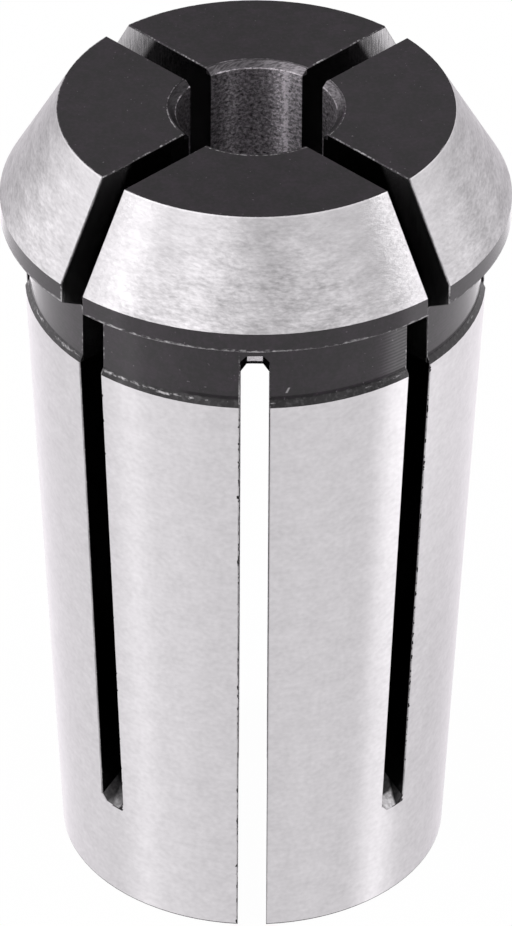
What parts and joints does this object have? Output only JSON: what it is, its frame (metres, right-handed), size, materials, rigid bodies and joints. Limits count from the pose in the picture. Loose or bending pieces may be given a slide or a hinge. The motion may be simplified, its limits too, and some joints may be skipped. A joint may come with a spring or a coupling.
{
  "type": "router collet",
  "caption": "Slit steel collet with a conical nose, an extraction groove and a tapered body, for gripping a router bit's shank in a spindle.",
  "frame": {"origin": "centre of the rear end face, where the collet stands", "axes": "+Z along the bore towards the nose, +X and -Y through slits that are open at the rear end"},
  "size_m": [0.0204, 0.0204, 0.0347],
  "materials": {
    "hardened_steel": "nose cone and taper ground bright, end faces, rim, groove and slits left black from hardening"
  },
  "bodies": {
    "root": {"collet": "hardened_steel"}
  },
  "joints": []
}
